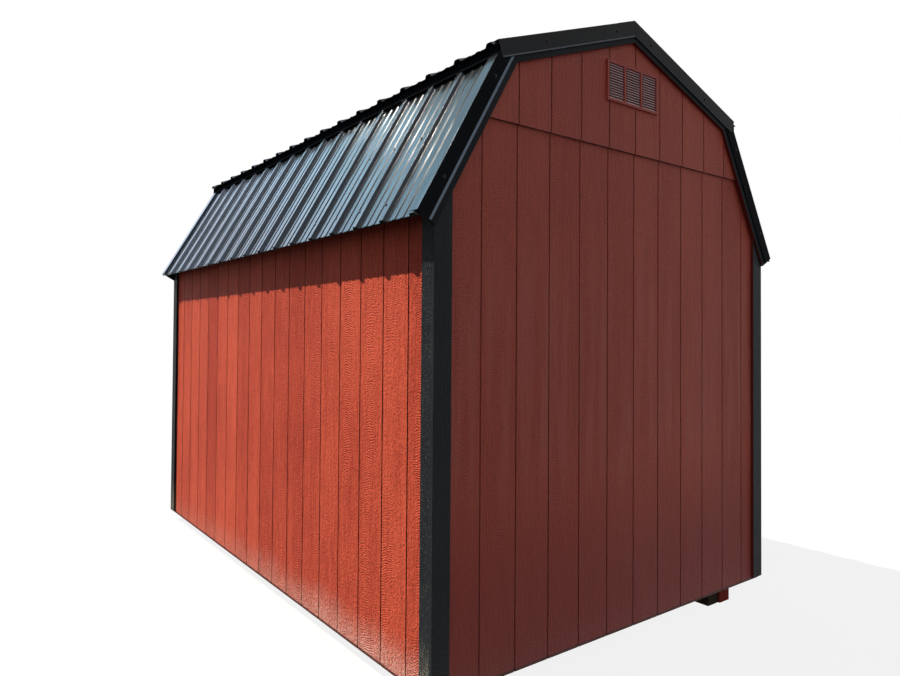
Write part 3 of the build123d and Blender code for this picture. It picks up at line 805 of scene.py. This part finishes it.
sheet_screws = []
trim_screws = []
for side in (-1, 1):
    steep_up = Vector((-side * math.cos(lower_angle), 0, math.sin(lower_angle)))
    steep_out = Vector((side * math.sin(lower_angle), 0, math.cos(lower_angle)))
    flat_down = Vector((side * math.cos(upper_angle), 0, -math.sin(upper_angle)))
    flat_out = Vector((side * math.sin(upper_angle), 0, math.cos(upper_angle)))
    eave = Vector((side * eave_end.x, 0, eave_end.z))
    ridge_flat = ridge_top - flat_out * cap_depth
    along = (Vector((0, rib_pitch, 0)), rib_places - 1)
    for start, slope, out, rows in (
        (eave, steep_up, steep_out, lower_rows),
        (ridge_flat, flat_down, flat_out, upper_rows),
    ):
        distance, spacing, count = rows
        first = start + slope * distance + Vector((0, first_rib, 0))
        sheet_screws.append(screw_field(first, out, [along, (slope * spacing, count)]))
    for end in (-1, 1):
        gable_out = Vector((0, end, 0))
        for start, slope, out, rows in (
            (eave, steep_up, steep_out, lower_trim_rows),
            (ridge_flat, flat_down, flat_out, upper_trim_rows),
        ):
            distance, spacing, count = rows
            first = start + slope * distance - out * trim_screw_drop + gable_out * trim_face
            trim_screws.append(screw_field(first, gable_out, [(slope * spacing, count)]))
joined("roof_screws", sheet_screws)
joined("trim_screws", trim_screws)
bpy.data.objects.remove(screw)


# Gable vents
# Stamped metal vents with three columns of louvres, painted over with the siding. The upward louvre
# faces carry a painted highlight, pale on the front vent in the shade and fainter on the sunny back
# one.
vent_red = (0.40, 0.055, 0.034, 1.0)
vent_red_dry = (0.48, 0.085, 0.055, 1.0)
# Painted highlight colours for the upward louvre faces, bright on the front vent and faint on the back
louvre_bright_highlight = (0.98, 0.58, 0.53, 1.0)
louvre_faint_highlight = (0.56, 0.15, 0.115, 1.0)
vent_rim = 0.012
column_pitch = 0.130
unhighlighted_end = 0.0125
louvre_depth = 0.0015
louvre_facing = (-0.3, -0.1)
rail_facing = (0.3, 0.5)
vent_clouds_per_metre = 14.0
peel_per_metre = 300.0
peel_height = 0.0004
vent_gloss = 0.25
vent_low, vent_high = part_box("back_vent")
vent_middle = (vent_low.z + vent_high.z) / 2


def vent_finish(name, louvre_colour):
    """Red painted sheet metal whose upward louvre faces carry a painted highlight colour."""
    finish, paint, place = new_finish(name)
    cloud = place.noise(vent_clouds_per_metre, 4.0, 0.6)
    orange_peel = place.noise(peel_per_metre, 2.0)
    painted = cloud.between(0.35, 0.75).tint(vent_red, vent_red_dry)
    column = place.axis("X") / column_pitch
    off_column = (column - column.math("ROUND")).math("ABSOLUTE") * column_pitch
    highlight_half = column_pitch / 2 - unhighlighted_end
    within_column = off_column.between(highlight_half, highlight_half - paint_edge)
    within_width = 1.0 - beyond(place, "X", vent_high.x - vent_rim, paint_edge)
    off_middle = (place.axis("Z") - vent_middle).math("ABSOLUTE")
    opening_half = vent_high.z - vent_middle - vent_rim
    within_height = off_middle.between(opening_half + paint_edge, opening_half)
    behind_rim = 1.0 - beyond(place, "Y", vent_high.y - louvre_depth, louvre_depth / 2)
    facing = place.node("ShaderNodeNewGeometry", None, None, "Normal")
    not_rail = 1.0 - facing.axis("X").math("ABSOLUTE").between(*rail_facing)
    upward = facing.axis("Z").between(*louvre_facing) * not_rail
    # Painted highlight on the upward louvre faces, short of the column ends
    louvre = within_column * within_width * within_height * behind_rim * upward
    fill_sockets(
        place,
        paint,
        {
            "Base Color": (louvre * (0.7 + cloud * 0.3)).tint(painted, louvre_colour),
            "Roughness": 0.40 + orange_peel * 0.15,
            "Specular IOR Level": vent_gloss,
            "Normal": orange_peel.bump(peel_height),
        },
    )
    return finish


dress(["front_vent"], vent_finish("vent_red_bright_highlight", louvre_bright_highlight))
dress(["back_vent"], vent_finish("vent_red_faint_highlight", louvre_faint_highlight))


# Door hinges and hasp
# Pressed steel strap hinges and a hasp plate, fixed over the door boards. Their zinc plating has
# dulled a little.
zinc_bright = (0.55, 0.56, 0.57, 1.0)
zinc_dull = (0.30, 0.31, 0.32, 1.0)
spangles_per_metre = 160.0
zinc_clouds_per_metre = 30.0
zinc_height = 0.0003

zinc_finish, zinc, place = new_finish("dull_zinc")
cells = {"Vector": place, "Scale": spangles_per_metre}
spangle = place.node("ShaderNodeTexVoronoi", None, cells, "Color").axis("X")
cloud = place.noise(zinc_clouds_per_metre, 4.0, 0.6)
fill_sockets(
    place,
    zinc,
    {
        "Base Color": (spangle * 0.4 + cloud * 0.6).between(0.25, 0.8).tint(zinc_dull, zinc_bright),
        "Metallic": 1.0,
        "Roughness": 0.32 + cloud * 0.25,
        "Normal": cloud.bump(zinc_height),
    },
)
dress(["door_hinges", "door_hasp"], zinc_finish)
